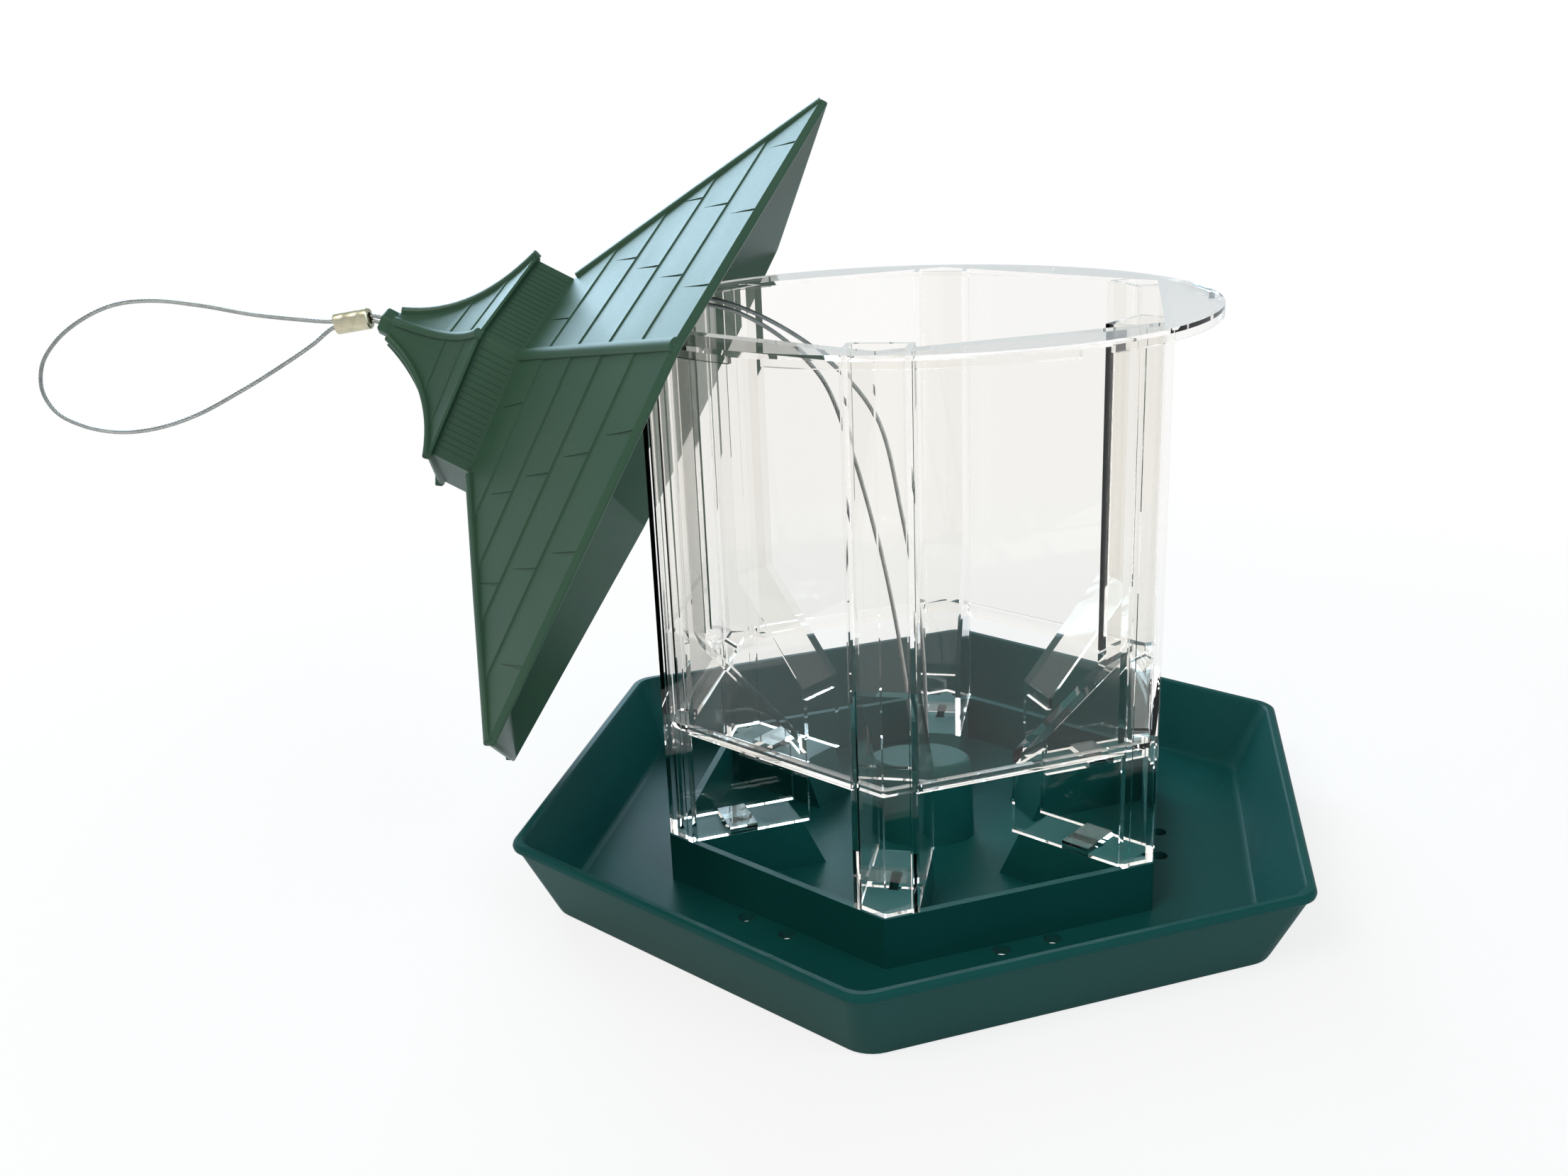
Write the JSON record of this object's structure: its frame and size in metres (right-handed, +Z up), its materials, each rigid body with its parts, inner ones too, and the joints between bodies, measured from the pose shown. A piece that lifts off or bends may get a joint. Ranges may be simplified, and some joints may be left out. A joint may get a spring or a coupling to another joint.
{
  "type": "hanging seed feeder",
  "caption": "Hanging hexagonal bird feeder: tray with feed ports, clear seed hopper, tiered roof that rides on the hanging cable, crimped cable loop",
  "frame": {"origin": "middle of the tray's flat underside", "axes": "+Z up through the hopper; one corner of the hexagonal tray points toward -Y and two of its sides face +X and -X"},
  "size_m": [0.3594, 0.24, 0.2097],
  "materials": {
    "green_plastic": "moulded, soft gloss",
    "roof_plastic": "moulded, satin",
    "clear_plastic": "clear polystyrene, polished",
    "steel_cable": "bare stranded wire",
    "crimp_metal": "pressed, dull"
  },
  "bodies": {
    "root": {"tray": "green_plastic", "hopper": "clear_plastic"},
    "cable": {"cable_strand_left": "steel_cable", "cable_strand_right": "steel_cable"},
    "roof": {"roof": "roof_plastic"},
    "hanger": {"ferrule": "crimp_metal", "hanger_loop": "steel_cable"}
  },
  "joints": [
    {"name": "roof_swing", "type": "hinge", "parent": "root", "child": "cable", "pos_m": [0, 0, 0.0773], "axis": [-0.2854, 0.8969, 0.3377], "range_deg": [0, 65.91], "deforming": ["cable_strand_left", "cable_strand_right"]},
    {"name": "roof_slide", "type": "slide", "parent": "cable", "child": "roof", "axis": [-0.8759, -0.0813, 0.4756], "range_m": [-0.0058, 0]},
    {"name": "hanger_flex", "type": "hinge", "parent": "cable", "child": "hanger", "pos_m": [-0.14847, -0.01359, 0.15655], "axis": [-0.0198, 0.991, 0.1328], "range_deg": [0, 37.25]}
  ],
  "couplings": [
    {"joint": "roof_slide", "follows": "roof_swing", "m_per_rad": -0.00504},
    {"joint": "hanger_flex", "follows": "roof_swing", "ratio": 0.5651}
  ]
}
